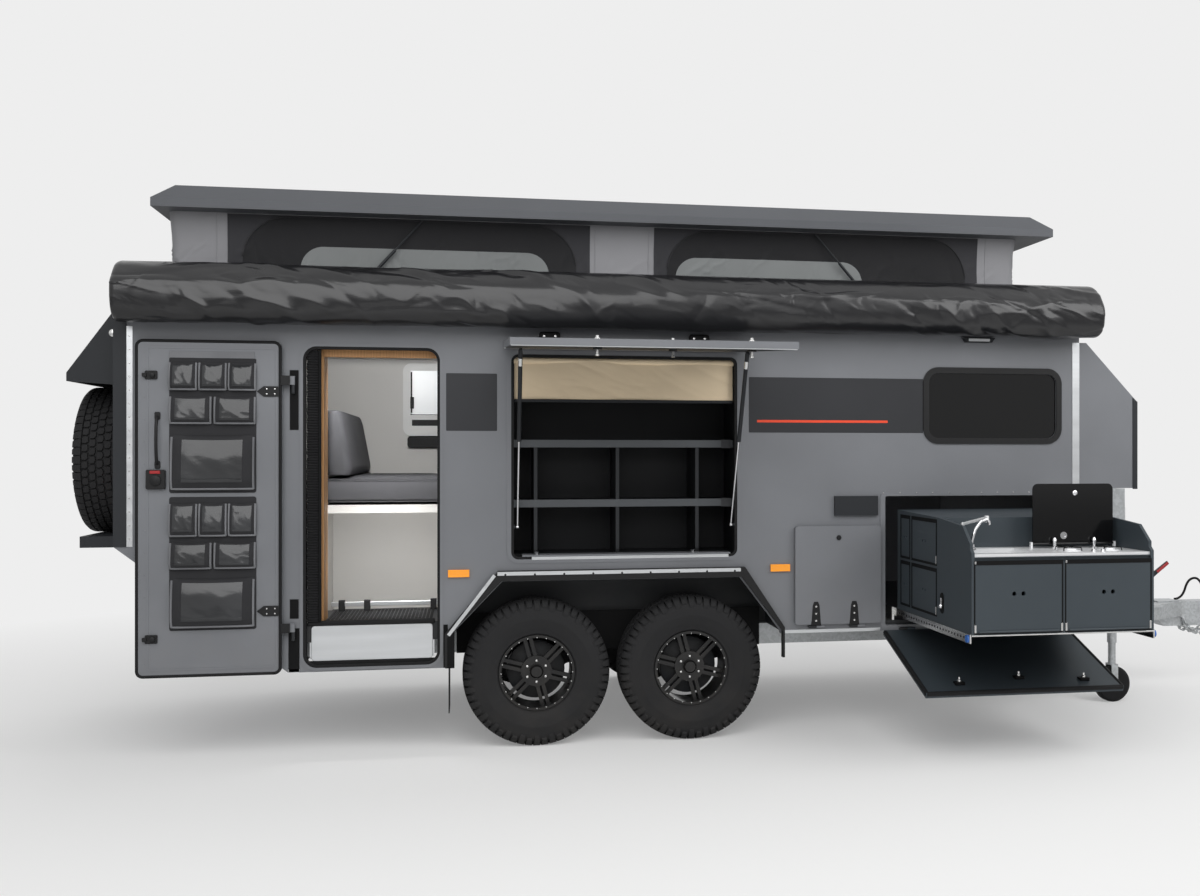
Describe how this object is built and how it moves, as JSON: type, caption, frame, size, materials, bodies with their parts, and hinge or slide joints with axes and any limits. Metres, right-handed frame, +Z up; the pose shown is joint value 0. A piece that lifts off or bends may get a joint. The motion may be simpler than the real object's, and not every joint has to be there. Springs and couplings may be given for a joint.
{
  "type": "off-road pop-top camper trailer",
  "caption": "Grey off-road tandem-axle camper trailer, pop-top roof raised, entry door swung back, serving hatch up, kitchen slid out, spare wheels on the tail.",
  "frame": {"origin": "on the ground, on the centreline, midway between the two axles", "axes": "+X forward to the coupling, +Y to the left side, +Z up"},
  "size_m": [7.323, 3.4343, 3],
  "materials": {
    "body_paint": "satin",
    "dark_paint": "satin",
    "roof_paint": "satin",
    "kitchen_paint": "satin",
    "galvanised": "dull zinc",
    "aluminium": "satin",
    "steel": "brushed",
    "chrome": "polished",
    "rubber": "matt",
    "tyre": "matt",
    "black_alloy": "satin",
    "plastic": "matt",
    "glass": "dark tint",
    "canvas": "woven",
    "bag": "wrinkled",
    "pocket": "woven",
    "blind": "woven",
    "cushion": "satin",
    "white_board": "satin",
    "amber": "clear",
    "bottle": "satin",
    "lid_glass": "glossy"
  },
  "bodies": {
    "trailer": {"wall_right": "body_paint", "wall_left": "body_paint", "end_walls": "body_paint", "floor": "dark_paint", "nose_box": "body_paint", "dark_trims": "dark_paint", "metal_strips": "aluminium", "fender_flares": "plastic", "opening_seals": "rubber", "window_frames": "plastic", "window_glass": "glass", "lamps": "amber", "awning_bag": "bag", "chassis": "galvanised", "coupling_head": "galvanised", "handbrake_lever": "dark_paint", "safety_chains": "galvanised", "tow_cable": "rubber", "jockey_tube": "galvanised", "front_locker": "galvanised", "gas_bottles": "bottle", "trailing_arms": "dark_paint", "spring_units": "rubber", "spare_tyres": "tyre", "spare_rims": "black_alloy", "spare_carrier": "dark_paint", "rear_hood": "dark_paint", "cabin_panels": "white_board", "seat_cushions": "cushion", "storage_cabinet": "kitchen_paint", "blind_roll": "blind", "opening_frames": "body_paint", "runner_channels": "steel"},
    "roof": {"pop_top_roof": "roof_paint", "canvas": "canvas", "lift_arms": "dark_paint"},
    "door": {"door_panel": "body_paint", "door_pockets": "pocket", "door_latches": "plastic"},
    "hatch": {"hatch_panel": "body_paint"},
    "strut_tube": {"strut_tubes": "dark_paint"},
    "strut_rod": {"strut_rods": "chrome"},
    "kitchen": {"kitchen_unit": "kitchen_paint", "kitchen_sink_top": "steel", "kitchen_runners": "steel"},
    "kitchen_flap_rear": {"kitchen_door_rear": "kitchen_paint"},
    "kitchen_flap_front": {"kitchen_door_front": "kitchen_paint"},
    "lid": {"stove_lid": "lid_glass"},
    "drop_flap": {"drop_panel": "kitchen_paint"},
    "access_flap": {"access_hatch": "body_paint"},
    "jockey_stem": {"jockey_leg": "galvanised"},
    "jockey_roller": {"jockey_wheel": "rubber"},
    "wheel_rear_right": {"tyre_rear_right": "tyre", "rim_rear_right": "black_alloy"},
    "wheel_front_right": {"tyre_front_right": "tyre", "rim_front_right": "black_alloy"},
    "wheel_rear_left": {"tyre_rear_left": "tyre", "rim_rear_left": "black_alloy"},
    "wheel_front_left": {"tyre_front_left": "tyre", "rim_front_left": "black_alloy"}
  },
  "joints": [
    {"name": "roof_lift", "type": "slide", "parent": "trailer", "child": "roof", "axis": [0, 0, 1], "range_m": [-0.425, 0], "deforming": ["canvas", "lift_arms"]},
    {"name": "door_hinge", "type": "hinge", "parent": "trailer", "child": "door", "pos_m": [-1.692, -1.125, 1.316], "axis": [0, 0, 1], "range_deg": [0, 180]},
    {"name": "hatch_hinge", "type": "hinge", "parent": "trailer", "child": "hatch", "pos_m": [0.056, -1.125, 2.184], "axis": [1, 0, 0], "range_deg": [0, 86]},
    {"name": "strut_swing", "type": "hinge", "parent": "hatch", "child": "strut_tube", "pos_m": [0.056, -1.52186, 2.12517], "axis": [1, 0, 0], "range_deg": [-110.54, 0]},
    {"name": "strut_stroke", "type": "slide", "parent": "strut_tube", "child": "strut_rod", "axis": [0, -0.4246, 0.9054], "range_m": [0, 0.43782]},
    {"name": "kitchen_slide", "type": "slide", "parent": "trailer", "child": "kitchen", "axis": [0, 1, 0], "range_m": [0, 1.09]},
    {"name": "kitchen_flap_rear_hinge", "type": "hinge", "parent": "kitchen", "child": "kitchen_flap_rear", "pos_m": [1.86, -2.203, 0.7233], "axis": [1, 0, 0], "range_deg": [0, 90]},
    {"name": "kitchen_flap_front_hinge", "type": "hinge", "parent": "kitchen", "child": "kitchen_flap_front", "pos_m": [2.34, -2.203, 0.7233], "axis": [1, 0, 0], "range_deg": [0, 90]},
    {"name": "lid_hinge", "type": "hinge", "parent": "kitchen", "child": "lid", "pos_m": [2.31, -1.88, 1.128], "axis": [1, 0, 0], "range_deg": [0, 90]},
    {"name": "drop_hinge", "type": "hinge", "parent": "trailer", "child": "drop_flap", "pos_m": [2.078, -1.125, 0.596], "axis": [1, 0, 0], "range_deg": [-23, 0]},
    {"name": "access_hinge", "type": "hinge", "parent": "trailer", "child": "access_flap", "pos_m": [1.258, -1.118, 0.621], "axis": [1, 0, 0], "range_deg": [0, 120]},
    {"name": "jockey_screw", "type": "slide", "parent": "trailer", "child": "jockey_stem", "axis": [0, 0, 1], "range_m": [0, 0.11]},
    {"name": "jockey_spin", "type": "hinge", "parent": "jockey_stem", "child": "jockey_roller", "pos_m": [3.278, -0.492, 0.115], "axis": [0, 1, 0], "continuous": true},
    {"name": "spin_rear_right", "type": "hinge", "parent": "trailer", "child": "wheel_rear_right", "pos_m": [-0.4275, -0.9475, 0.4], "axis": [0, 1, 0], "continuous": true},
    {"name": "spin_front_right", "type": "hinge", "parent": "trailer", "child": "wheel_front_right", "pos_m": [0.4275, -0.9475, 0.4], "axis": [0, 1, 0], "continuous": true},
    {"name": "spin_rear_left", "type": "hinge", "parent": "trailer", "child": "wheel_rear_left", "pos_m": [-0.4275, 0.9475, 0.4], "axis": [0, 1, 0], "continuous": true},
    {"name": "spin_front_left", "type": "hinge", "parent": "trailer", "child": "wheel_front_left", "pos_m": [0.4275, 0.9475, 0.4], "axis": [0, 1, 0], "continuous": true}
  ],
  "couplings": [
    {"joint": "strut_swing", "follows": "hatch_hinge", "ratio": -1.2853},
    {"joint": "strut_stroke", "follows": "hatch_hinge", "m_per_rad": 0.29169}
  ]
}
